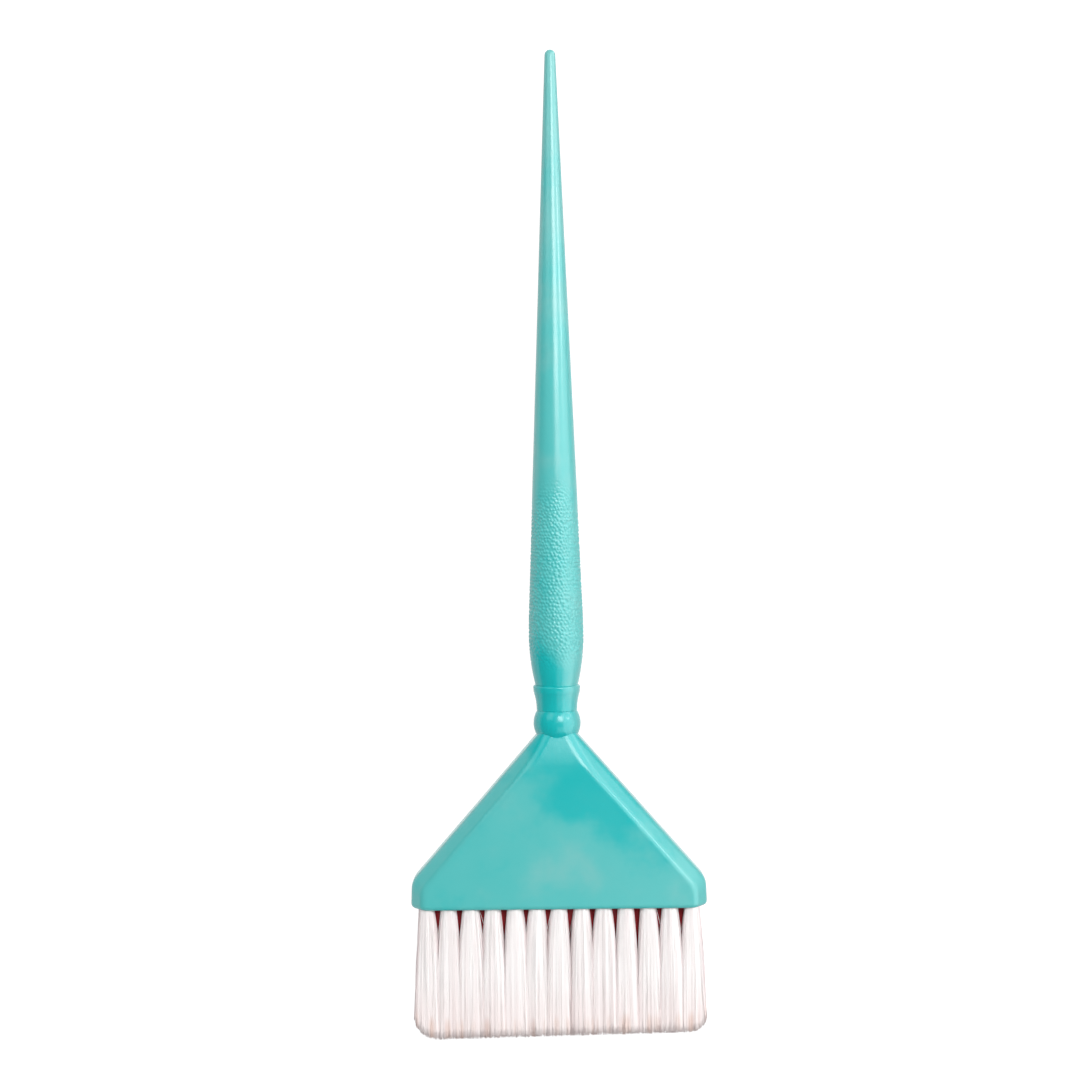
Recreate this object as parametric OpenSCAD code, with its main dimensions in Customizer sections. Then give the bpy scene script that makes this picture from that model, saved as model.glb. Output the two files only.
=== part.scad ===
// Wide tint brush: a one-piece moulded handle with a tail, a grip and a triangular head,
// and three staggered rows of filament tufts, each folded round a flat wire anchor and
// driven into a blind hole in the head.
//
// The brush lies on its back. X runs across the bristles, +Y along the handle to the tip
// of the tail, and +Z up through the front face. The origin is the centre of the bounding
// box at the surface that the brush lies on.

/* [Head] */
// Width of the head at its foot, before the corners are rounded
head_w = 80; // [76:1:90]
// Thickness of the head, which is also the grip's largest diameter
head_t = 15; // [14.6:0.1:17]
// Height of the head, from the bristle face to the neck
neck_y = 45.8; // [42:0.1:52]
// Height of the upright sides below the slopes
side_h = 7.2; // [6:0.1:12]
// How far the chamfer along each slope reaches in over the face
slope_chamfer = 3.6; // [3:0.1:5]
// How far the chamfer along each upright side reaches in over the face
side_chamfer = 3.4; // [2.5:0.1:4]
// Width of the plain band that the chamfers leave along the edge of the head
edge_band = 7; // [5:0.5:8]

/* [Handle] */
// Length of the handle above the bristle face
handle_len = 232; // [200:1:260]
// Radius at the tip of the tail
tip_r = 1.5; // [1.2:0.1:2.5]
// Length of the collar, up to its sharp edge
collar_len = 6.6; // [5:0.1:10]
// Length of the grip from the collar to its widest ring
grip_foot_len = 13.1; // [8:0.1:18]
// Radius of the collar at its upper edge
collar_r = 6.4; // [6:0.1:6.8]
// Radius of the waists beside the collar and the bead
waist_r = 5.5; // [5.2:0.05:5.9]
// Radius of the bead, a ball on the handle's axis
bead_r = 6.4; // [6.2:0.1:6.8]

/* [Bristles] */
// Number of tufts in the front row and in the back row; the middle row has one fewer
outer_tufts = 13; // [9:1:13]
// Radius of a tuft hole
hole_r = 2.05; // [1.7:0.05:2.05]
// Depth of a tuft hole, except at the ends of the outer rows, where the head is too shallow
hole_depth = 10; // [9:0.5:12]
// Length of the front and back tufts outside the head
bristle_len = 34.5; // [28:0.5:45]
// How much shorter the middle row is trimmed
middle_short = 2; // [0:0.5:4]
// Radius that an unhindered tuft would spread to at its tip
spread_r = 4; // [3.2:0.1:4.2]
// Radius of the rounded corners of the trimmed bristle edge
trim_corner_r = 6.5; // [3:0.5:10]

/* [Hidden] */
middle_tufts = outer_tufts - 1;
end_wall = 2.25;
face_wall = 1;
tuft_pitch = (head_w - 2 * (end_wall + hole_r)) / (outer_tufts - 1);
row_pitch = head_t / 2 - hole_r - face_wall;
mid_z = head_t / 2;
box_mid_y = (handle_len - bristle_len) / 2;

// How finely rounds are drawn
turned_fn = 120;
tuft_fn = 48;
corner_steps = 8;
long_arc_steps = 16;

// Head outline and edges
foot_corner_r = 2;
shoulder_corner_r = 3;
side_draft = 0.3;
chamfer_outer_r = 2.2;
chamfer_inner_r = 3;
lip_r = 1.4;
crown_run = 5.5;
crown_r = 6;
neck_overlap = 1.2;
shoulder_wall = 1.7;
slope_foot = [head_w / 2 - side_draft, side_h];
slope_head = [waist_r + 0.35, neck_y];
slope_angle = atan2(slope_foot[0] - slope_head[0], slope_head[1] - slope_foot[1]);
long = 3 * head_w;

// Turned profile
grip_r = head_t / 2;
bead_half = sqrt(bead_r * bead_r - waist_r * waist_r);
bead_y = neck_y + 0.1 + bead_half;
groove_len = 0.5;
groove_depth = 0.12;
collar_foot_y = bead_y + bead_half + groove_len;
collar_top_y = collar_foot_y + collar_len;
collar_edge_r = 0.5;
grip_foot_r = waist_r + 0.35;
grip_foot_y = collar_top_y + 0.3;
shoulder_y = collar_top_y + grip_foot_len;
taper_end_y = shoulder_y + 8;
taper_end_r = grip_r - 0.17;

// Tufts
tuft_gap = 0.1;
pack_half_w = head_w / 2 - 0.4;
pack_half_t = head_t / 2 - 0.3;

// Anchors: flat wire cut to length
anchor_bite = 0.3;
anchor_t = 0.3;
anchor_w = 1.8;
anchor_floor_gap = 0.8;

ROWS = ["front", "middle", "back"];

function two_digits(i) = i < 10 ? str("0", i) : str(i);
function tuft_name(row, i) = str(row, "_tuft_", two_digits(i));
function anchors_name(row) = str(row, "_row_anchors");
function tufts_in(row) = row == "middle" ? middle_tufts : outer_tufts;
function row_z(row) = row == "front" ? row_pitch : row == "back" ? -row_pitch : 0;
function tuft_x(row, i) = (i - (tufts_in(row) + 1) / 2) * tuft_pitch;
function at_row_end(row, i) = row != "middle" && (i == 1 || i == outer_tufts);
function depth_of(row, i) = at_row_end(row, i) ? min(hole_depth, side_h - shoulder_wall) : hole_depth;

function unit(v) = v / norm(v);
function turned_left(v) = [-v[1], v[0]];
function cross2(u, v) = u[0] * v[1] - u[1] * v[0];

// Points of the arc of radius r that rounds the corner b between a and c
function corner(a, b, c, r) =
    let (
        u = unit(a - b),
        v = unit(c - b),
        half = acos(u * v) / 2,
        centre = b + unit(u + v) * r / sin(half),
        first = b + u * r / tan(half),
        start = atan2(first[1] - centre[1], first[0] - centre[0]),
        sweep = (180 - 2 * half) * (cross2(u, v) < 0 ? 1 : -1)
    )
    [for (k = [0:corner_steps])
        centre + r * [cos(start + sweep * k / corner_steps), sin(start + sweep * k / corner_steps)]];

// The outline through corners [x, y, radius], each rounded to its own radius
function rounded(corners) =
    let (n = len(corners), xy = [for (c = corners) [c[0], c[1]]])
    [for (i = [0:n - 1])
        each corners[i][2] == 0
            ? [xy[i]]
            : corner(xy[(i + n - 1) % n], xy[i], xy[(i + 1) % n], corners[i][2])];

// Points of the arc from p to q that stands bulge proud of the chord, on its left
function arc_between(p, q, bulge, steps) =
    let (
        chord = norm(q - p),
        r = (chord * chord / 4 + bulge * bulge) / (2 * abs(bulge)),
        side = turned_left(unit(q - p)) * sign(bulge)
    )
    [for (k = [0:steps])
        let (along = chord * (k / steps - 0.5))
        (p + q) / 2 + unit(q - p) * along
            + side * (sqrt(r * r - along * along) - r + abs(bulge))];

// From the row's own place to where the brush lies
module lay() {
    translate([0, -box_mid_y, mid_z])
        children();
}

// Outline of the head seen from the front
function head_outline() =
    let (
        right = [
            [head_w / 2, 0, foot_corner_r],
            [slope_foot[0], slope_foot[1], shoulder_corner_r],
            [slope_head[0], slope_head[1], 0],
            [slope_head[0] - neck_overlap, neck_y + neck_overlap, 0]
        ],
        left = [for (i = [len(right) - 1:-1:0]) [-right[i][0], right[i][1], right[i][2]]]
    )
    rounded(concat(right, left));

// Everything inside an edge of the head that runs along Y at x = 0, with its two chamfers
module inside_edge(chamfer) {
    rotate([90, 0, 0])
        linear_extrude(height = long, center = true)
            polygon(rounded([
                [0, -edge_band / 2, chamfer_outer_r],
                [chamfer, -head_t / 2, chamfer_inner_r],
                [long, -head_t / 2, 0],
                [long, head_t / 2, 0],
                [chamfer, head_t / 2, chamfer_inner_r],
                [0, edge_band / 2, chamfer_outer_r]
            ]));
}

// Side view of the head: a rounded lip round the bristle face, and a crown that meets the bead
module head_side_view() {
    crown_half_t = waist_r - 0.5;
    rotate([90, 0, 90])
        linear_extrude(height = long, center = true)
            polygon(rounded([
                [0, -head_t / 2, lip_r],
                [neck_y - crown_run, -head_t / 2, crown_r],
                [neck_y + neck_overlap, -crown_half_t, 0],
                [neck_y + neck_overlap, crown_half_t, 0],
                [neck_y - crown_run, head_t / 2, crown_r],
                [0, head_t / 2, lip_r]
            ]));
}

module head_block() {
    intersection() {
        linear_extrude(height = head_t, center = true)
            polygon(head_outline());
        head_side_view();
        intersection_for(side = [0, 1])
            mirror([side, 0, 0])
                intersection() {
                    translate([-head_w / 2, 0, 0])
                        inside_edge(side_chamfer);
                    translate([-slope_foot[0], slope_foot[1], 0])
                        rotate([0, 0, -slope_angle])
                            inside_edge(slope_chamfer);
                }
    }
}

// Half profile of the bead, collar, grip and tail, as [radius, height]
function turned_profile() =
    let (
        bead_foot = [waist_r, bead_y - bead_half],
        bead_head = [waist_r, bead_y + bead_half],
        tip_centre_y = handle_len - tip_r
    )
    concat(
        [[0, neck_y - 2], [waist_r - 0.4, neck_y - 2]],
        arc_between(bead_foot, bead_head, waist_r - bead_r, long_arc_steps),
        arc_between([waist_r - groove_depth, bead_head[1] + groove_len / 3], [waist_r, collar_foot_y], -0.04, 4),
        arc_between([waist_r, collar_foot_y], [collar_r - 0.1, collar_top_y - 1.8], 0.18, 8),
        corner([collar_r, collar_top_y - 3], [collar_r, collar_top_y], [0, collar_top_y], collar_edge_r),
        arc_between([grip_foot_r, grip_foot_y], [grip_r - 0.04, shoulder_y - 1.6], -0.28, long_arc_steps),
        [[grip_r, shoulder_y]],
        arc_between([grip_r - 0.01, shoulder_y + 1.2], [taper_end_r, taper_end_y], -0.03, 6),
        [for (k = [0:corner_steps])
            [tip_r * cos(90 * k / corner_steps), tip_centre_y + tip_r * sin(90 * k / corner_steps)]]
    );

module turned_handle() {
    rotate([-90, 0, 0])
        rotate_extrude($fn = turned_fn)
            polygon(turned_profile());
}

// Puts a child at a tuft's place on the bristle face, its z axis out of the hole
module at_tuft(row, i) {
    translate([tuft_x(row, i), 0, row_z(row)])
        rotate([90, 0, 0])
            children();
}

// One flat wire anchor across a tuft hole, biting into the wall at both ends
module anchor(row, i) {
    at_tuft(row, i)
        translate([0, 0, -depth_of(row, i) + anchor_floor_gap + anchor_w / 2])
            cube([2 * (hole_r + anchor_bite), anchor_t, anchor_w], center = true);
}

module row_anchors(row) {
    color("goldenrod")
        lay()
            for (i = [1:tufts_in(row)])
                anchor(row, i);
}

module handle() {
    color([0.30, 0.78, 0.76])
        lay()
            difference() {
                union() {
                    head_block();
                    turned_handle();
                }
                for (row = ROWS)
                    for (i = [1:tufts_in(row)]) {
                        at_tuft(row, i)
                            translate([0, 0, -depth_of(row, i)])
                                cylinder(h = depth_of(row, i) + 1, r = hole_r, $fn = tuft_fn);
                        anchor(row, i);
                    }
            }
}

// The space that a tuft may spread into: its share of the pack, inside the trimmed edge
module tuft_share(row, i) {
    last = tufts_in(row);
    reach = row == "middle" ? bristle_len - middle_short : bristle_len;
    half_pitch = tuft_pitch / 2 - tuft_gap / 2;
    half_row = row_pitch / 2 - tuft_gap / 2;
    from_x = i == 1 && row != "middle" ? -pack_half_w : tuft_x(row, i) - half_pitch;
    to_x = i == last && row != "middle" ? pack_half_w : tuft_x(row, i) + half_pitch;
    from_z = row == "back" ? -pack_half_t : row_z(row) - half_row;
    to_z = row == "front" ? pack_half_t : row_z(row) + half_row;
    intersection() {
        translate([from_x, -reach, from_z])
            cube([to_x - from_x, reach, to_z - from_z]);
        linear_extrude(height = head_t, center = true)
            polygon(rounded([
                [-pack_half_w, -bristle_len, trim_corner_r],
                [pack_half_w, -bristle_len, trim_corner_r],
                [pack_half_w, 1, 0],
                [-pack_half_w, 1, 0]
            ]));
    }
}

// One tuft: a round root in its hole, and the part outside, which spreads until it meets
// its neighbours
module tuft(row, i) {
    lay()
        difference() {
            union() {
                at_tuft(row, i)
                    translate([0, 0, -depth_of(row, i)])
                        cylinder(h = depth_of(row, i), r = hole_r, $fn = tuft_fn);
                intersection() {
                    at_tuft(row, i)
                        cylinder(h = bristle_len, r1 = hole_r, r2 = spread_r, $fn = tuft_fn);
                    tuft_share(row, i);
                }
            }
            anchor(row, i);
        }
}

module outer_tuft(row, i) {
    color("whitesmoke")
        tuft(row, i);
}

module middle_tuft(i) {
    color([0.42, 0.06, 0.09])
        tuft("middle", i);
}

handle();

for (row = ["front", "back"])
    for (i = [1:outer_tufts])
        outer_tuft(row, i);

for (i = [1:middle_tufts])
    middle_tuft(i);

for (row = ROWS)
    row_anchors(row);
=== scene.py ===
"""Looks of a wide tint brush: a glossy moulded handle and a pack of splayed filament tufts.

The brush lies on its back. X runs across the bristles, +Y along the handle to the tip of the tail,
and +Z up through the front face. Shapes are worked out in millimetres: x across, height above the
bristle face along the handle, and depth towards the front from the handle's middle plane.
"""

import math

import bpy
import numpy as np
from mathutils import Matrix, Vector, noise


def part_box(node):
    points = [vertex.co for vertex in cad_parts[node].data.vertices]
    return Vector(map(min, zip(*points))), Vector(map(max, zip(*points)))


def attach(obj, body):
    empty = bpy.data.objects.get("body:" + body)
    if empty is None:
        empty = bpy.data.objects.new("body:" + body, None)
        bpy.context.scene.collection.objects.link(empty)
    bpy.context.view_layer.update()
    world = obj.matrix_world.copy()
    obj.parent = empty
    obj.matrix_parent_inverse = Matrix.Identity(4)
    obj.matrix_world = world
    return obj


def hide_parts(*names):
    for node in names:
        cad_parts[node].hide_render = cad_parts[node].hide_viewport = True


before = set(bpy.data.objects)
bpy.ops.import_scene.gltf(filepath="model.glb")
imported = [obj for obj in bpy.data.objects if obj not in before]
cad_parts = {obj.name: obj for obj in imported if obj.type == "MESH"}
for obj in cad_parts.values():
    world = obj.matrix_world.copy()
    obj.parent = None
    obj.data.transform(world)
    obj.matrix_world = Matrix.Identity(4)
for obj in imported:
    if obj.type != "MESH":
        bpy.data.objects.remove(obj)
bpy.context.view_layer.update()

MM = 0.001
HANDLE_LOW, HANDLE_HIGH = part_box("handle")
FACE_Y = HANDLE_LOW.y
MID_Z = (HANDLE_LOW.z + HANDLE_HIGH.z) / 2
HALF_T = (HANDLE_HIGH.z - HANDLE_LOW.z) / 2 / MM
TAIL_END = (HANDLE_HIGH.y - FACE_Y) / MM
TUFTS = sorted(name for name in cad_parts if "_tuft_" in name)


# ---------------------------------------------------------------- meshes


def make_object(name, vertices, faces, smooth=True):
    """An object whose vertices are given in metres in the row frame."""
    mesh = bpy.data.meshes.new(name)
    mesh.from_pydata(np.asarray(vertices).tolist(), [], faces)
    if smooth:
        mesh.shade_smooth()
    mesh.validate()
    obj = bpy.data.objects.new(name, mesh)
    bpy.context.scene.collection.objects.link(obj)
    return obj


def to_row(x, height, depth):
    """The row frame's point, in metres, of a point in the brush's millimetres."""
    return np.stack([x * MM, FACE_Y + height * MM, MID_Z + depth * MM], axis=-1)


def ring_faces(rings, around, start=0):
    """Triangles between consecutive closed rings, each of the same number of points."""
    faces = []
    for k in range(rings - 1):
        a = start + k * around
        b = a + around
        for j in range(around):
            j2 = (j + 1) % around
            faces.append((a + j, a + j2, b + j2))
            faces.append((a + j, b + j2, b + j))
    return faces


def combine(obj, other, operation):
    """Joins or cuts obj with other by a boolean, and removes other."""
    modifier = obj.modifiers.new(operation, "BOOLEAN")
    modifier.operation = operation
    modifier.object = other
    modifier.solver = "MANIFOLD"
    depsgraph = bpy.context.evaluated_depsgraph_get()
    mesh = bpy.data.meshes.new_from_object(obj.evaluated_get(depsgraph))
    obj.modifiers.clear()
    obj.data = mesh
    bpy.data.objects.remove(other)


# ---------------------------------------------------------------- head

# Upright sides, a little wider at the bristle face
HALF_W = 39.97
SIDE_DRAFT = 0.3
SIDE_H = 7.2
HALF_W_FOOT = HALF_W - SIDE_DRAFT

# Sloped sides, which run up to the neck and a little into the bead
NECK = 45.8
NECK_HALF = 5.85
NECK_OVERLAP = 1.2

# Chamfers between the front and the flat band round the edge
BAND = 3.5
SIDE_CHAMFER = 3.4
SLOPE_CHAMFER = 3.6

# Crown, where the front falls to the neck
CROWN_RUN = 5.5
CROWN_HALF_T = 5.0

# Widths of the blends that round the head's edges
SHOULDER_BLEND = 1.1
LIP_BLEND = 1.5
BAND_BLEND = 0.75
FACE_BLEND = 1.0
CROWN_BLEND = 2.6

# Sink marks: broad and fine ones, which fade out just below the flat front
SINK = 0.1
SINK_RATE = (0.055, 0.07)  # across and along, per millimetre
SINK_LAYER = 3.7
FINE_SINK = 0.02
FINE_SINK_RATE = 3.1  # times the broad ones'
SINK_FADE = 0.4

# Where the sections stand close together, round the shoulder's height and below the crown
BELOW_SHOULDER = 3
ABOVE_SHOULDER = 4
BELOW_CROWN = 2

# A quarter of a section: points over its flat front, then round its edge about a pivot
FACE_STEPS = 14
EDGE_STEPS = 32
PIVOT_INSET = 8
PIVOT_LEAST = 0.35
SEARCH_REACH = 15.0
SEARCH_STEPS = 40


def blend_max(a, b, width):
    """The larger of a and b, with the corner between them rounded."""
    h = np.maximum(width - np.abs(a - b), 0) / width
    return np.maximum(a, b) + h * h * width / 4


def head_field(x, height, depth):
    """Below zero inside the head: each flat side as a distance from its plane, with soft edges."""
    x = np.abs(x)
    depth = np.abs(depth)
    slope = math.atan2(HALF_W_FOOT - NECK_HALF, NECK - SIDE_H)
    side = x - (HALF_W - SIDE_DRAFT * height / SIDE_H)
    sloped = (x - HALF_W_FOOT) * math.cos(slope) + (height - SIDE_H) * math.sin(slope)
    rise = HALF_T - BAND
    over = depth - BAND
    side_cut = ((x - HALF_W) * rise + over * SIDE_CHAMFER) / math.hypot(rise, SIDE_CHAMFER)
    slope_cut = (sloped * rise + over * SLOPE_CHAMFER) / math.hypot(rise, SLOPE_CHAMFER)
    tilt = math.atan2(HALF_T - CROWN_HALF_T, CROWN_RUN + NECK_OVERLAP)
    crown = (depth - HALF_T) * math.cos(tilt) + (height - NECK + CROWN_RUN) * math.sin(tilt)
    outline = blend_max(side, sloped, SHOULDER_BLEND)
    chamfers = blend_max(side_cut, slope_cut, SHOULDER_BLEND)
    edges = blend_max(outline, chamfers, BAND_BLEND)
    front = blend_max(depth - HALF_T, crown, CROWN_BLEND)
    body = blend_max(edges, front, FACE_BLEND)
    return blend_max(body, -height, LIP_BLEND)


def sink_depth(x, height):
    """Sink marks of a thick moulding: how far the front and back lie under their plane."""
    place = Vector((x * SINK_RATE[0], height * SINK_RATE[1], SINK_LAYER))
    broad = 0.5 + 0.5 * noise.noise(place)
    fine = 0.5 + 0.5 * noise.noise(place * FINE_SINK_RATE)
    return SINK * broad + FINE_SINK * fine


def head_stations():
    """Heights of the head's sections, close together where it curves."""
    shoulder_low = SIDE_H - BELOW_SHOULDER
    shoulder_high = SIDE_H + ABOVE_SHOULDER
    crown_low = NECK - CROWN_RUN - BELOW_CROWN
    lip = LIP_BLEND * (1 - np.cos(np.linspace(0.02, math.pi / 2, 12)))
    foot = np.linspace(LIP_BLEND, shoulder_low, 7)[1:]
    shoulder = np.linspace(shoulder_low, shoulder_high, 22)[1:]
    slope = np.linspace(shoulder_high, crown_low, 30)[1:]
    crown = np.linspace(crown_low, NECK + NECK_OVERLAP, 20)[1:]
    return np.concatenate([lip, foot, shoulder, slope, crown])


def find_surface(x, height, x_way, depth_way):
    """How far along its way from (x, height, 0) each point meets the head's surface, by halving."""
    low = np.zeros_like(x)
    high = np.full_like(x, SEARCH_REACH)
    for _ in range(SEARCH_STEPS):
        mid = (low + high) / 2
        inside = head_field(x + mid * x_way, height, mid * depth_way) < 0
        low = np.where(inside, mid, low)
        high = np.where(inside, high, mid)
    return low


def make_head():
    """The head as closed sections, one above another. A quarter of each is found and mirrored."""
    heights = head_stations()
    run = NECK - SIDE_H
    slope_x = HALF_W_FOOT - (heights - SIDE_H) * (HALF_W_FOOT - NECK_HALF) / run
    half = np.minimum(HALF_W, slope_x)
    pivot = np.maximum(half - PIVOT_INSET, half * PIVOT_LEAST)
    across = np.concatenate([np.linspace(0, 1, FACE_STEPS + 1)[:-1], np.ones(EDGE_STEPS + 1)])
    turn = np.concatenate([np.zeros(FACE_STEPS), np.linspace(0, math.pi / 2, EDGE_STEPS + 1)])
    start = pivot[:, None] * across[None, :]
    level = np.repeat(heights[:, None], len(across), axis=1)
    x_way = np.sin(turn)[None, :]
    depth_way = np.cos(turn)[None, :]
    reach = find_surface(start, level, x_way, depth_way)
    quarter_x = start + reach * x_way
    quarter_depth = reach * depth_way

    vertices = []
    for k, height in enumerate(heights):
        quarter = list(zip(quarter_x[k], quarter_depth[k]))
        right = quarter + [(x, -depth) for x, depth in reversed(quarter[:-1])]
        left = [(-x, depth) for x, depth in reversed(right[1:-1])]
        vertices += [(x, height, depth) for x, depth in right + left]
    around = len(vertices) // len(heights)

    points = np.array(vertices)
    sunk = np.array([sink_depth(x, height) for x, height, _ in vertices])
    flatness = np.clip((np.abs(points[:, 2]) - HALF_T + SINK_FADE) / SINK_FADE, 0, 1)
    points[:, 2] -= np.sign(points[:, 2]) * sunk * flatness

    faces = ring_faces(len(heights), around)
    faces.append(tuple(range(around - 1, -1, -1)))
    faces.append(tuple(range((len(heights) - 1) * around, len(heights) * around)))
    return make_object("head", to_row(points[:, 0], points[:, 1], points[:, 2]), faces)


# ---------------------------------------------------------------- turned part of the handle

# Bead and collar
WAIST_R = 5.5
BEAD_R = 6.4
BEAD_HALF = math.sqrt(BEAD_R**2 - WAIST_R**2)
BEAD_MID = NECK + 0.1 + BEAD_HALF
COLLAR_FOOT = BEAD_MID + BEAD_HALF + 0.5
COLLAR_TOP = COLLAR_FOOT + 6.6
COLLAR_R = 6.4
COLLAR_EDGE = 0.6

# Grip, taper and tail
GRIP_FOOT = COLLAR_TOP + 0.3
SHOULDER = COLLAR_TOP + 13.1
TAPER_END = SHOULDER + 8
TAPER_R = HALF_T - 0.17
TIP_R = 1.5

# How far each curved length of the profile stands outside its chord
GROOVE_BULGE = 0.04
COLLAR_BULGE = -0.18
GRIP_BULGE = 0.28
SHOULDER_BULGE = 0.02
TAPER_BULGE = 0.03

# Points round a ring, and rings over the grained and the plain length of the tail
TURNED_POINTS = 208
GRAIN_RINGS = 182
PLAIN_RINGS = 24

# Grain of the grip: round pebbles in staggered rows, in a soft net
GRAIN_TOP = 117.0
GRAIN_HEIGHT = 0.23
GRAIN_SCALLOP = 5  # how far its upper end drops at the sides
GRAIN_FADE_TOP = 12
GRAIN_FADE_FOOT = 11
GRAIN_FOOT = 2.5  # above the collar
PEBBLES_AROUND = 46
PEBBLE_ROW = 0.95
PEBBLE_JITTER = 0.3
PEBBLE_R = 0.62 * PEBBLE_ROW
FAR = 9.0


def arc_points(start, end, bulge, steps):
    """Points (radius, height) of an arc that stands bulge outside the chord from start to end."""
    start, end = np.array(start), np.array(end)
    chord = np.linalg.norm(end - start)
    along = (end - start) / chord
    out = np.array([along[1], -along[0]]) * np.sign(bulge)
    r = (chord**2 / 4 + bulge**2) / (2 * abs(bulge))
    t = np.linspace(-chord / 2, chord / 2, steps + 1)
    rise = np.sqrt(r**2 - t**2) - r + abs(bulge)
    return (start + end) / 2 + t[:, None] * along + rise[:, None] * out


def turned_profile():
    """Half profile of the bead, collar, grip and tail as (radius, height), from the neck up."""
    inside_head = (WAIST_R - 0.4, NECK - 2)
    bead_foot = (WAIST_R, BEAD_MID - BEAD_HALF)
    bead_head = (WAIST_R, BEAD_MID + BEAD_HALF)
    groove = (WAIST_R - 0.12, bead_head[1] + 0.17)
    collar_foot = (WAIST_R, COLLAR_FOOT)
    collar_rim = (COLLAR_R - 0.1, COLLAR_TOP - 1.8)
    grip_foot = (WAIST_R + 0.35, GRIP_FOOT)
    grip_head = (HALF_T - 0.04, SHOULDER - 1.6)
    ring_foot = (HALF_T - 0.03, SHOULDER - 1.2)
    ring_head = (HALF_T - 0.01, SHOULDER + 1.2)
    taper_foot = (HALF_T - 0.02, SHOULDER + 1.4)

    edge_turn = np.linspace(0, math.pi / 2, 7)
    edge_radii = COLLAR_R - COLLAR_EDGE + COLLAR_EDGE * np.cos(edge_turn)
    edge_heights = COLLAR_TOP - COLLAR_EDGE + COLLAR_EDGE * np.sin(edge_turn)

    tip_mid = TAIL_END - TIP_R
    grained = np.linspace(TAPER_END, GRAIN_TOP, GRAIN_RINGS)[1:]
    plain = np.linspace(GRAIN_TOP, tip_mid, PLAIN_RINGS)[1:-1]
    tail_heights = np.concatenate([grained, plain])
    tail_radii = TAPER_R + (TIP_R - TAPER_R) * (tail_heights - TAPER_END) / (tip_mid - TAPER_END)
    tip_turn = np.linspace(0, math.pi / 2, 9)[:-1]

    return np.concatenate(
        [
            [inside_head],
            arc_points(bead_foot, bead_head, BEAD_R - WAIST_R, 22),
            arc_points(groove, collar_foot, GROOVE_BULGE, 4),
            arc_points(collar_foot, collar_rim, COLLAR_BULGE, 12)[1:],
            np.stack([edge_radii, edge_heights], 1),
            arc_points(grip_foot, grip_head, GRIP_BULGE, 60),
            arc_points(ring_foot, ring_head, SHOULDER_BULGE, 12),
            arc_points(taper_foot, (TAPER_R, TAPER_END), TAPER_BULGE, 33),
            np.stack([tail_radii, tail_heights], 1),
            np.stack([TIP_R * np.cos(tip_turn), tip_mid + TIP_R * np.sin(tip_turn)], 1),
        ]
    )


def smooth_step(x):
    """0 below 0, 1 above 1, and a smooth rise between."""
    x = np.clip(x, 0, 1)
    return x * x * (3 - 2 * x)


def pebble_centres():
    """Centres of the pebbles as (turn, height), each moved a little at random."""
    rng = np.random.default_rng(5)
    rows = int((GRAIN_TOP - COLLAR_TOP) / PEBBLE_ROW) + 4
    row, column = np.meshgrid(np.arange(rows), np.arange(PEBBLES_AROUND), indexing="ij")
    turn_jitter = rng.uniform(-PEBBLE_JITTER, PEBBLE_JITTER, row.shape)
    turn = (column + 0.5 * (row % 2) + turn_jitter) / PEBBLES_AROUND
    height = COLLAR_TOP + (row + rng.uniform(-PEBBLE_JITTER, PEBBLE_JITTER, row.shape)) * PEBBLE_ROW
    return turn, height


def grain_depth(turn, radius, height):
    """How far the grained grip lies under the turned profile, for rings of points."""
    centre_turn, centre_height = pebble_centres()
    rows = centre_turn.shape[0]
    row = np.round((height - COLLAR_TOP) / PEBBLE_ROW).astype(int)
    column = np.round(turn * PEBBLES_AROUND).astype(int)
    nearest = np.full(turn.shape, FAR)
    for down in (-1, 0, 1):
        k = np.clip(row + down, 0, rows - 1)
        for side in (-2, -1, 0, 1, 2):
            j = (column + side) % PEBBLES_AROUND
            around = (turn - centre_turn[k, j] + 0.5) % 1 - 0.5
            reach = np.hypot(around * 2 * math.pi * radius, height - centre_height[k, j])
            nearest = np.minimum(nearest, reach)
    top = GRAIN_TOP - GRAIN_SCALLOP * np.abs(np.cos(2 * math.pi * turn)) ** 3
    fade_top = smooth_step((top - height) / GRAIN_FADE_TOP)
    fade_foot = smooth_step((height - COLLAR_TOP - GRAIN_FOOT) / GRAIN_FADE_FOOT)
    return fade_top * fade_foot * GRAIN_HEIGHT * smooth_step(nearest / PEBBLE_R)


def make_turned():
    """The bead, collar, grip and tail as rings, closed at the foot and at the tip."""
    around = TURNED_POINTS
    radius, height = turned_profile().T
    turn, _ = np.meshgrid(np.arange(around) / around, height)
    radius = np.repeat(radius[:, None], around, axis=1)
    height = np.repeat(height[:, None], around, axis=1)
    radius = radius - grain_depth(turn, radius, height)
    angle = 2 * math.pi * turn
    rows = to_row(radius * np.cos(angle), height, radius * np.sin(angle)).reshape(-1, 3)
    rows = np.vstack([rows, to_row(0, TAIL_END, 0)])
    rings = len(radius)
    faces = [tuple(reversed(face)) for face in ring_faces(rings, around)]
    faces.append(tuple(range(around)))
    last = (rings - 1) * around
    tip = len(rows) - 1
    faces += [(last + (j + 1) % around, last + j, tip) for j in range(around)]
    return make_object("turned", rows, faces)


# ---------------------------------------------------------------- tuft holes

HOLE_POINTS = 28
PEG_BELOW = 2


def root_of(node):
    """Centre (x, depth), radius and height of a tuft's root, from its CAD solid in the head."""
    root = [v.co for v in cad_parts[node].data.vertices if v.co.y > FACE_Y + 0.1 * MM]
    inside = np.array(root)
    low, high = inside.min(0) / MM, inside.max(0) / MM
    centre = (low + high) / 2
    return centre[0], centre[2] - MID_Z / MM, (high[0] - low[0]) / 2, high[1] - FACE_Y / MM


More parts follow.
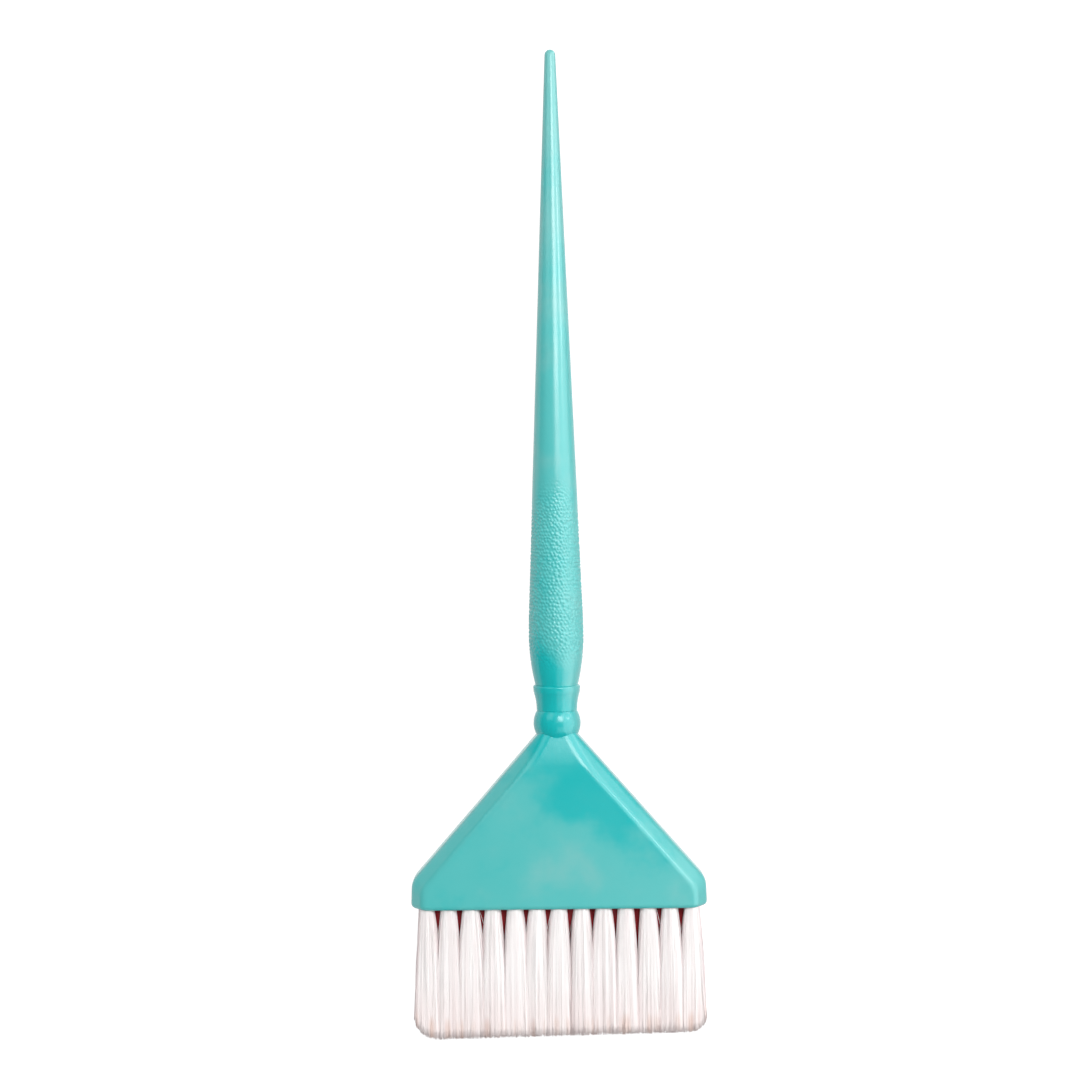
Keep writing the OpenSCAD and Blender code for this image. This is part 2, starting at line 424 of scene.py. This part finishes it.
def make_pegs():
    """Every tuft hole's space, as one object to cut from the head."""
    around = HOLE_POINTS
    angles = np.linspace(0, 2 * math.pi, around, endpoint=False)
    vertices, faces = [], []
    for node in TUFTS:
        x, depth, radius, top = root_of(node)
        start = len(vertices)
        for height in (-PEG_BELOW, top):
            for angle in angles:
                across = x + radius * math.cos(angle)
                vertices.append((across, height, depth + radius * math.sin(angle)))
        for face in ring_faces(2, around, start):
            faces.append(tuple(reversed(face)))
        faces.append(tuple(range(start, start + around)))
        faces.append(tuple(range(start + 2 * around - 1, start + around - 1, -1)))
    points = np.array(vertices)
    return make_object("pegs", to_row(points[:, 0], points[:, 1], points[:, 2]), faces)


# ---------------------------------------------------------------- nodes of a material


def new_material(name):
    """An empty node material, with its shader."""
    material = bpy.data.materials.new(name)
    material.use_nodes = True
    tree = material.node_tree
    tree.nodes.clear()
    output = tree.nodes.new("ShaderNodeOutputMaterial")
    shader = tree.nodes.new("ShaderNodeBsdfPrincipled")
    tree.links.new(shader.outputs[0], output.inputs[0])
    return material, tree, shader


def add_noise(tree, scale, detail=2.0, roughness=0.5, stretch=None):
    """A noise pattern on the piece's own coordinates, in metres."""
    place = tree.nodes.new("ShaderNodeTexCoord").outputs["Object"]
    if stretch:
        mapping = tree.nodes.new("ShaderNodeMapping")
        mapping.inputs["Scale"].default_value = stretch
        tree.links.new(place, mapping.inputs["Vector"])
        place = mapping.outputs["Vector"]
    texture = tree.nodes.new("ShaderNodeTexNoise")
    texture.inputs["Scale"].default_value = scale
    texture.inputs["Detail"].default_value = detail
    texture.inputs["Roughness"].default_value = roughness
    tree.links.new(place, texture.inputs["Vector"])
    return texture.outputs["Fac"]


def add_ramp(tree, source, stops):
    """A colour ramp from a list of (position, colour)."""
    ramp = tree.nodes.new("ShaderNodeValToRGB")
    ramp.color_ramp.interpolation = "EASE"
    elements = ramp.color_ramp.elements
    while len(elements) < len(stops):
        elements.new(0.5)
    for element, (position, colour) in zip(elements, stops):
        element.position = position
        element.color = (*colour, 1)
    tree.links.new(source, ramp.inputs[0])
    return ramp.outputs["Color"]


def add_range(tree, source, low, high):
    """Spreads a noise value over low to high."""
    spread = tree.nodes.new("ShaderNodeMapRange")
    spread.interpolation_type = "SMOOTHERSTEP"
    spread.inputs["From Min"].default_value = 0.2
    spread.inputs["From Max"].default_value = 0.8
    spread.inputs["To Min"].default_value = low
    spread.inputs["To Max"].default_value = high
    tree.links.new(source, spread.inputs["Value"])
    return spread.outputs["Result"]


def add_bump(tree, source, distance, normal=None):
    """A bump of the given height in metres, on top of another one if its normal is given."""
    bump = tree.nodes.new("ShaderNodeBump")
    bump.inputs["Distance"].default_value = distance
    bump.inputs["Strength"].default_value = 1.0
    tree.links.new(source, bump.inputs["Height"])
    if normal:
        tree.links.new(normal, bump.inputs["Normal"])
    return bump.outputs["Normal"]


def add_glow(tree, centre, size, turn):
    """A soft oval mask: 1 at centre, 0 beyond size, in metres, and turned by degrees about Z."""
    mapping = tree.nodes.new("ShaderNodeMapping")
    mapping.vector_type = "TEXTURE"
    mapping.inputs["Location"].default_value = centre
    mapping.inputs["Scale"].default_value = size
    mapping.inputs["Rotation"].default_value = (0, 0, math.radians(turn))
    gradient = tree.nodes.new("ShaderNodeTexGradient")
    gradient.gradient_type = "SPHERICAL"
    place = tree.nodes.new("ShaderNodeTexCoord").outputs["Object"]
    tree.links.new(place, mapping.inputs["Vector"])
    tree.links.new(mapping.outputs["Vector"], gradient.inputs["Vector"])
    return gradient.outputs["Fac"]


def add_math(tree, operation, a, b):
    """A sum or product of two values, each a number or another node's output."""
    node = tree.nodes.new("ShaderNodeMath")
    node.operation = operation
    for socket, value in zip(node.inputs, (a, b)):
        if isinstance(value, (int, float)):
            socket.default_value = value
        else:
            tree.links.new(value, socket)
    return node.outputs[0]


def add_share(tree, value, other, share):
    """The sum of value and a share of other."""
    return add_math(tree, "ADD", value, add_math(tree, "MULTIPLY", other, share))


def add_tint(tree, colour, tint):
    """Multiplies two colours."""
    mix = tree.nodes.new("ShaderNodeMix")
    mix.data_type = "RGBA"
    mix.blend_type = "MULTIPLY"
    mix.inputs["Factor"].default_value = 1.0
    tree.links.new(colour, mix.inputs["A"])
    tree.links.new(tint, mix.inputs["B"])
    return mix.outputs["Result"]


# ---------------------------------------------------------------- materials

NO_TINT = (1, 1, 1)

# The plastic's base colour, from painted shade with no sheen to a pale painted sheen, over the
# painted haze
PLASTIC_PAINTED_SHADE = (0.0, 0.43, 0.435)
PLASTIC_MIDDLE = (0.075, 0.475, 0.465)
PLASTIC_PAINTED_SHEEN = (0.145, 0.485, 0.47)

# Zones of painted light on the plastic: painted sheen added (painted shade where below zero),
# centre and reach in metres, and turn in degrees
PAINTED_LIGHT_ZONES = [
    # Painted sheen low on the head, right of its middle
    (0.35, (0.009, FACE_Y + 0.013, MID_Z), (0.032, 0.015, 0.03), 0.0),
    # Painted sheen on the tail, palest at its tip
    (0.5, (0, FACE_Y + TAIL_END * MM, MID_Z), (0.03, 0.11, 0.03), 0.0),
    # Painted shade along the head's right slope: no sheen there, a painted dark reflection
    (-0.8, (0.0115, FACE_Y + 0.0315, MID_Z), (0.036, 0.017, 0.05), -48.8),
    # Painted shade on the left of the bead and collar
    (-0.9, (-0.004, FACE_Y + 0.057, MID_Z + 0.004), (0.010, 0.018, 0.04), 0.0),
]


def turquoise_plastic():
    """Glossy moulded plastic whose base colour carries a painted sheen: a faint cloudy haze, paler
    zones of painted sheen and deeper zones of painted shade.
    """
    material, tree, shader = new_material("turquoise_plastic")
    # Painted sheen: a patchy haze in the base colour, raised or lowered zone by zone
    painted_sheen_haze = add_noise(tree, 75, 3, 0.55)
    for share, centre, size, turn in PAINTED_LIGHT_ZONES:
        painted_sheen_haze = add_share(tree, painted_sheen_haze, add_glow(tree, centre, size, turn), share)
    stops = [(0.1, PLASTIC_PAINTED_SHADE), (0.5, PLASTIC_MIDDLE), (0.95, PLASTIC_PAINTED_SHEEN)]
    tree.links.new(add_ramp(tree, painted_sheen_haze, stops), shader.inputs["Base Color"])
    polish = add_range(tree, add_noise(tree, 110, 3), 0.2, 0.265)
    tree.links.new(polish, shader.inputs["Roughness"])
    peel = add_bump(tree, add_noise(tree, 1400, 2), 0.000008)
    waves = add_bump(tree, add_noise(tree, 90, 1), 0.00012, peel)
    tree.links.new(waves, shader.inputs["Normal"])
    shader.inputs["IOR"].default_value = 1.55
    return material


# Tints of the filaments: the darkest and middle shade, dark streaks along them, worn tips' stains
SHADE_LOW = (0.8, 0.74, 0.74)
SHADE_MIDDLE = (0.98, 0.97, 0.97)
STREAK = (0.93, 0.9, 0.9)
STAIN = (0.86, 0.73, 0.67)
ROUGHNESS_SPREAD = 0.06


def filament_material(name, root, body, tip, painted_parting_tint, roughness):
    """Fine nylon filaments, in their colours at the root, on the way and at the tip, with a painted
    shade where tufts stand side by side, pinkish on the white ones as if lit by the red tufts.

    The mesh's strand colour holds each point's place along its filament (red), the filament's
    paleness (green) and how much it faces the next tuft (blue).
    """
    material, tree, shader = new_material(name)
    attribute = tree.nodes.new("ShaderNodeAttribute")
    attribute.attribute_name = "strand"
    parts = tree.nodes.new("ShaderNodeSeparateColor")
    tree.links.new(attribute.outputs["Color"], parts.inputs[0])
    place = parts.outputs["Red"]
    paleness = parts.outputs["Green"]
    facing = parts.outputs["Blue"]

    along = add_ramp(tree, place, [(0.0, root), (0.15, body), (0.5, body), (0.95, tip)])
    shade = add_ramp(tree, paleness, [(0.0, SHADE_LOW), (0.6, SHADE_MIDDLE), (1.0, NO_TINT)])
    # Painted shade where a tuft faces its neighbour; on white filaments it is pinkish, a painted
    # glow of the red tufts' bounce light
    edge = add_ramp(tree, facing, [(0.55, NO_TINT), (1.0, painted_parting_tint)])
    streak_noise = add_noise(tree, 800, 3, stretch=(1, 0.03, 1))
    streaks = add_ramp(tree, streak_noise, [(0.3, STREAK), (0.6, NO_TINT)])
    near_tip = add_ramp(tree, place, [(0.62, (0, 0, 0)), (0.92, (1, 1, 1))])
    worn = add_math(tree, "MULTIPLY", near_tip, add_noise(tree, 420, 2, stretch=(1, 0.04, 1)))
    stain = add_ramp(tree, worn, [(0.45, NO_TINT), (0.75, STAIN)])
    colour = add_tint(tree, add_tint(tree, along, shade), add_tint(tree, edge, streaks))
    tree.links.new(add_tint(tree, colour, stain), shader.inputs["Base Color"])

    fine = add_noise(tree, 900, 2, stretch=(1, 0.05, 1))
    low, high = roughness - ROUGHNESS_SPREAD, roughness + ROUGHNESS_SPREAD
    tree.links.new(add_range(tree, fine, low, high), shader.inputs["Roughness"])
    return material


def anchor_metal():
    """Drawn brass wire with fine marks along it."""
    material, tree, shader = new_material("anchor_wire")
    drawn = add_noise(tree, 1500, 2, stretch=(0.1, 1, 1))
    colour = add_ramp(tree, drawn, [(0.3, (0.48, 0.30, 0.09)), (0.7, (0.62, 0.42, 0.15))])
    tree.links.new(colour, shader.inputs["Base Color"])
    tree.links.new(add_range(tree, drawn, 0.22, 0.4), shader.inputs["Roughness"])
    shader.inputs["Metallic"].default_value = 1.0
    return material


def stage_white():
    """A floor that looks white by its own light, and throws little of the lamps' back."""
    material, tree, shader = new_material("stage_white")
    shader.inputs["Base Color"].default_value = (0.2, 0.2, 0.2, 1)
    shader.inputs["Roughness"].default_value = 0.9
    shader.inputs["Specular IOR Level"].default_value = 0.0
    shader.inputs["Emission Color"].default_value = (1, 1, 1, 1)
    shader.inputs["Emission Strength"].default_value = 0.95
    return material


# ---------------------------------------------------------------- tufts

# The pack's trimmed end: it slants a little, and its corners are rounded
PACK_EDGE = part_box("front_tuft_13")[1].x / MM
TRIM_SLOPE = 0.018
LEFT_CORNER_R = 7.0
RIGHT_CORNER_R = 5.0

# A tuft's space: kept inside its CAD box, and let into its neighbours' a little
BOX_INSET = 0.15
ROOT_INSET = 0.1
OVERLAP = 0.5
OVERLAP_SPREAD = 0.15
TIP_OVERLAP = 0.35
ROW_OVERLAP = 0.4
LEAN_SPREAD = 0.25
LEAST_CROWN = 0.93
SPREAD_END = (0.48, 0.68)  # where along its length it meets its neighbours
ROUND_POWER = 3
SQUARE_POWER = 4

# Its core
CORE_POINTS = 72
CORE_RINGS = 18
CORE_END = 0.987
CORE_RHO = 0.955
RIDGE = 0.03
CORE_NARROWS = 0.97  # both where along it, and to what share of its width
CORE_ROOT = 1.5
CORE_RAGGED = 0.35
CORE_PALENESS = 0.45
RIDGE_PALENESS = 0.5

# Its filaments: long ones on the core, short thick ends over the tip, and strays. Each kind's
# range is of its place between the tuft's middle and its outside (for the short ones, squared).
LONG_FILAMENTS = 110
LONG_RANGE = (0.95, 1.0)
SHORT_FILAMENTS = 210
SHORT_RANGE = (0.0, 0.85)
STRAYS = 5
STRAY_RANGE = (0.9, 1.0)
FILAMENT_R = 0.085
TIP_CLUMP_R = 0.16
LONG_WAVE = 0.1
STRAY_WAVE = 0.9
SHORT_START = 0.93
FILAMENT_ROOT = 1.2
FILAMENT_RAGGED = 0.5
SPLAY = 0.3
SPLAY_MARGIN = 1  # none splays this close to the pack's edge
TAPER = 0.3
TAPER_RUN = 0.3
PALENESS = 0.75
PALENESS_SPREAD = 2.2


def trimmed_length(x, reach):
    """Length of a filament whose tip is at x."""
    length = reach - TRIM_SLOPE * (x + PACK_EDGE)
    radius = np.where(x < 0, LEFT_CORNER_R, RIGHT_CORNER_R)
    into = np.clip((np.abs(x) - (PACK_EDGE - radius)) / radius, 0, 1)
    return length - radius * (1 - np.sqrt(1 - into**2))


class Tuft:
    """The space of one tuft: round at its hole, and squarer against its neighbours further out."""

    def __init__(self, node, rng):
        self.x, self.depth, self.radius, _ = root_of(node)
        low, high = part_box(node)
        self.reach = (FACE_Y - low.y) / MM
        self.cell_x = (low.x + high.x) / 2 / MM
        self.cell_depth = (low.z + high.z) / 2 / MM - MID_Z / MM
        self.half_x = (high.x - low.x) / 2 / MM - BOX_INSET
        self.half_depth = (high.z - low.z) / 2 / MM - BOX_INSET
        self.lean = rng.normal(0, LEAN_SPREAD)
        self.overlap = OVERLAP + rng.normal(0, OVERLAP_SPREAD)
        self.crown = rng.uniform(LEAST_CROWN, 1.0)
        self.spread_end = rng.uniform(*SPREAD_END)
        # Which way the tuft looks out of the pack: left or right at a row's ends, front or back
        self.side = 0
        if node.endswith("_01"):
            self.side = -1
        elif node.endswith("_13") or node == "middle_tuft_12":
            self.side = 1
        self.face = int(node.startswith("front")) - int(node.startswith("back"))

    def place(self, rho, phi, u):
        """Across and depth of the strands through (rho, phi) of the tuft, at u of their length."""
        p, q = np.cos(phi), np.sin(phi)
        power = ROUND_POWER + SQUARE_POWER * u**2
        corner = (np.abs(p) ** power + np.abs(q) ** power) ** (-1 / power)
        outward = p * self.side > 0
        t = np.clip(u / self.spread_end, 0, 1)
        opened = np.where(outward, u, t * (2 - t))
        lean = self.lean * (self.side == 0)
        half_x = np.where(outward, self.half_x, self.half_x + self.overlap + TIP_OVERLAP * u**2)
        at_face = q * self.face > 0
        half_depth = np.where(at_face, self.half_depth * self.crown, self.half_depth + ROW_OVERLAP)
        tip_x = self.cell_x + lean + rho * p * corner * half_x
        tip_depth = self.cell_depth + rho * q * corner * half_depth
        root_x = self.x + rho * p * (self.radius - ROOT_INSET)
        root_depth = self.depth + rho * q * (self.radius - ROOT_INSET)
        x = root_x + (tip_x - root_x) * opened
        return x, root_depth + (tip_depth - root_depth) * opened


def core_rings(tuft, rng):
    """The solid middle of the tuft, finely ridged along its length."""
    phi = np.linspace(0, 2 * math.pi, CORE_POINTS, endpoint=False)
    ridge = rng.uniform(0, 1, CORE_POINTS)
    u = np.linspace(0, CORE_END, CORE_RINGS)[:, None]
    width = np.where(u > CORE_NARROWS, CORE_NARROWS, 1)
    x, depth = tuft.place((CORE_RHO + RIDGE * ridge)[None, :] * width, phi[None, :], u)
    length = trimmed_length(tuft.place(1.0, phi, 1.0)[0], tuft.reach)
    ragged = CORE_RAGGED * rng.uniform(0, 1, CORE_POINTS)
    height = CORE_ROOT - u * (length - ragged + CORE_ROOT)
    shade = np.broadcast_to(CORE_PALENESS + RIDGE_PALENESS * ridge, x.shape)
    edge = np.broadcast_to(np.abs(np.cos(phi)), x.shape)
    return x, height, depth, np.broadcast_to(u, x.shape), shade, edge


def filament_rings(tuft, rng, rho, u, waves, thickness, sides):
    """Thin tapered rods in the tuft: arrays of filament by ring by corner."""
    count = len(rho)
    phi = rng.uniform(0, 2 * math.pi, count)
    x, depth = tuft.place(rho[:, None], phi[:, None], u[None, :])
    x = x + waves[:, None] * np.sin(math.pi * u[None, :])
    inner = np.clip(PACK_EDGE - SPLAY_MARGIN - np.abs(x[:, -1:]), 0, 1)
    x = x + inner * rng.normal(0, SPLAY, count)[:, None] * u[None, :] ** 2
    length = trimmed_length(np.clip(x[:, -1], -PACK_EDGE, PACK_EDGE), tuft.reach)
    length = length - FILAMENT_RAGGED * rng.uniform(0, 1, count) ** 2
    height = FILAMENT_ROOT - u[None, :] * (length[:, None] + FILAMENT_ROOT)
    tapered = np.clip((u - (1 - TAPER_RUN)) / TAPER_RUN, 0, 1)
    ring = (thickness * (1 - TAPER * tapered))[None, :, None]
    turn = np.linspace(0, 2 * math.pi, sides, endpoint=False)
    turn = turn[None, None, :] + rng.uniform(0, 6, count)[:, None, None]
    xs = x[:, :, None] + ring * np.cos(turn)
    depths = depth[:, :, None] + ring * np.sin(turn)
    heights = np.broadcast_to(height[:, :, None], xs.shape)
    paleness = rng.normal(PALENESS, PALENESS_SPREAD * thickness, count)
    shade = np.clip(paleness, 0, 1)[:, None, None]
    edge = np.abs(np.cos(phi))[:, None, None]
    values = (xs, heights, depths, u[None, :, None], shade, edge)
    return [np.broadcast_to(value, xs.shape) for value in values]


def make_tuft(node, material):
    """One tuft as a single mesh, with its strand colours."""
    rng = np.random.default_rng(sum(ord(c) * (k + 3) for k, c in enumerate(node)))
    tuft = Tuft(node, rng)

    core = core_rings(tuft, rng)
    parts = [core]
    rings, around = core[0].shape
    faces = ring_faces(rings, around)
    faces.append(tuple(range(around - 1, -1, -1)))
    faces.append(tuple(range((rings - 1) * around, rings * around)))
    start = rings * around

    long_rho = rng.uniform(*LONG_RANGE, LONG_FILAMENTS)
    short_rho = np.sqrt(rng.uniform(*SHORT_RANGE, SHORT_FILAMENTS))
    stray_rho = rng.uniform(*STRAY_RANGE, STRAYS)
    long_waves = rng.normal(0, LONG_WAVE, LONG_FILAMENTS)
    stray_waves = rng.normal(0, STRAY_WAVE, STRAYS)
    # Each group's places in the tuft, rings, waves, thickness and sides
    groups = [
        (long_rho, np.linspace(0, 1, 11), long_waves, FILAMENT_R, 3),
        (short_rho, np.array([SHORT_START, 1.0]), np.zeros(SHORT_FILAMENTS), TIP_CLUMP_R, 4),
        (stray_rho, np.linspace(0, 1, 13), stray_waves, FILAMENT_R, 3),
    ]
    for group in groups:
        part = filament_rings(tuft, rng, *group)
        parts.append(part)
        count, rings, sides = part[0].shape
        for _ in range(count):
            faces += ring_faces(rings, sides, start)
            faces.append(tuple(range(start + sides - 1, start - 1, -1)))
            start += rings * sides
            faces.append(tuple(range(start - sides, start)))

    columns = [np.concatenate([part[k].ravel() for part in parts]) for k in range(len(core))]
    x, height, depth, u, shade, edge = columns
    piece = make_object(node + "_filaments", to_row(x, height, depth), faces)
    layer = piece.data.color_attributes.new("strand", "FLOAT_COLOR", "POINT")
    colours = np.stack([u, shade, edge, np.ones_like(u)], axis=1)
    layer.data.foreach_set("color", colours.ravel())
    piece.data.materials.append(material)
    return piece


# ---------------------------------------------------------------- build

SHARP_ANGLE = 32

handle = make_head()
combine(handle, make_turned(), "UNION")
combine(handle, make_pegs(), "DIFFERENCE")
handle.name = "moulded_handle"
handle.data.materials.clear()
handle.data.materials.append(turquoise_plastic())
handle.data.shade_smooth()
handle.data.set_sharp_from_angle(angle=math.radians(SHARP_ANGLE))
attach(handle, "root")
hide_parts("handle")

white = filament_material(
    "white_filament",
    root=(0.90, 0.865, 0.865),
    body=(0.93, 0.905, 0.90),
    tip=(0.90, 0.83, 0.82),
    # Painted shade at the partings, pinkish as if lit by the red tufts
    painted_parting_tint=(0.96, 0.88, 0.89),
    roughness=0.5,
)
red = filament_material(
    "red_filament",
    root=(0.50, 0.008, 0.02),
    body=(0.58, 0.03, 0.04),
    tip=(0.60, 0.16, 0.14),
    # Painted shade at the partings
    painted_parting_tint=(0.9, 0.8, 0.8),
    roughness=0.45,
)
for node in TUFTS:
    in_middle = node.startswith("middle")
    tuft = make_tuft(node, red if in_middle else white)
    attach(tuft, "root")
    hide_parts(node)

metal = anchor_metal()
for name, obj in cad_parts.items():
    if name.endswith("_anchors"):
        obj.data.materials.clear()
        obj.data.materials.append(metal)


# ---------------------------------------------------------------- stage, lights and camera

FLOOR_HALF = 3.0

# The world's light, what is added where the camera sees it, and what reflections see less of it
WORLD_LIGHT = 0.52
WORLD_SEEN = 0.6
WORLD_MIRRORED = -0.38

VIEW_WIDTH = 0.2934
VIEW_MIDDLE = (-0.0041, 0.0001)
VIEW_TURN = -0.62
LENS = 50
SENSOR = 36


def make_floor():
    """A white floor under the brush, which throws no light on it."""
    low, high = -FLOOR_HALF, FLOOR_HALF
    corners = [(low, low, 0), (high, low, 0), (high, high, 0), (low, high, 0)]
    floor = make_object("floor", corners, [(0, 1, 2, 3)], smooth=False)
    floor.data.materials.append(stage_white())
    floor.visible_diffuse = False


def make_light(name, lean, distance, size, radiance, diffuse=True, glossy=True):
    """A soft panel, leaning by two angles from straight above: towards +X, then towards +Y."""
    width, length = size
    data = bpy.data.lights.new(name, "AREA")
    data.shape = "RECTANGLE"
    data.size = width
    data.size_y = length
    data.energy = radiance * math.pi * width * length
    light = bpy.data.objects.new(name, data)
    bpy.context.scene.collection.objects.link(light)
    turn_x = Matrix.Rotation(math.radians(lean[0]), 4, "Y")
    turn = turn_x @ Matrix.Rotation(math.radians(-lean[1]), 4, "X")
    way = turn @ Vector((0, 0, 1))
    light.matrix_world = Matrix.Translation(Vector((0, 0, MID_Z)) + way * distance) @ turn
    light.visible_diffuse = diffuse
    light.visible_glossy = glossy


def make_sheen(name, lean, distance, size, radiance):
    """A panel that shows only as a reflection."""
    make_light(name, lean, distance, size, radiance, diffuse=False)


def make_world():
    """A plain white studio, a little dimmer in reflections, and white where it is seen."""
    world = bpy.data.worlds.new("studio")
    world.use_nodes = True
    tree = world.node_tree
    rays = tree.nodes.new("ShaderNodeLightPath").outputs
    seen = add_math(tree, "MULTIPLY", rays["Is Camera Ray"], WORLD_SEEN)
    strength = add_math(tree, "ADD", WORLD_LIGHT, seen)
    strength = add_share(tree, strength, rays["Is Glossy Ray"], WORLD_MIRRORED)
    background = tree.nodes["Background"]
    background.inputs["Color"].default_value = (1, 1, 1, 1)
    tree.links.new(strength, background.inputs["Strength"])
    bpy.context.scene.world = world


def make_camera():
    """A camera straight above the brush's front, which sees VIEW_WIDTH at the middle plane."""
    data = bpy.data.cameras.new("camera")
    data.lens = LENS
    data.sensor_width = SENSOR
    camera = bpy.data.objects.new("camera", data)
    bpy.context.scene.collection.objects.link(camera)
    camera.location = (*VIEW_MIDDLE, MID_Z + VIEW_WIDTH / SENSOR * LENS)
    camera.rotation_euler = (0, 0, math.radians(VIEW_TURN))
    bpy.context.scene.camera = camera


make_floor()
make_light("key", (17, 22), 0.85, (0.36, 0.36), 8.5)
make_light("side", (59, 19), 0.9, (0.13, 0.13), 14)
make_light("overhead", (10, 15), 1.0, (1.0, 1.0), 1.1, glossy=False)
make_sheen("right_sheen", (70, 5), 0.8, (1.4, 1.8), 3.2)
make_sheen("bevel_sheen", (96, 42), 0.8, (0.5, 0.5), 2.2)
make_sheen("top_sheen", (0, 56), 1.0, (1.5, 0.6), 0.6)
make_sheen("upper_sheen", (12, 24), 0.95, (0.6, 0.5), 0.6)
make_sheen("left_sheen", (-40, 32), 0.9, (0.5, 0.5), 1.3)
make_sheen("foot_sheen", (16, -29), 0.9, (0.45, 0.45), 1.2)
make_world()
bpy.context.scene.view_settings.view_transform = "Standard"
make_camera()
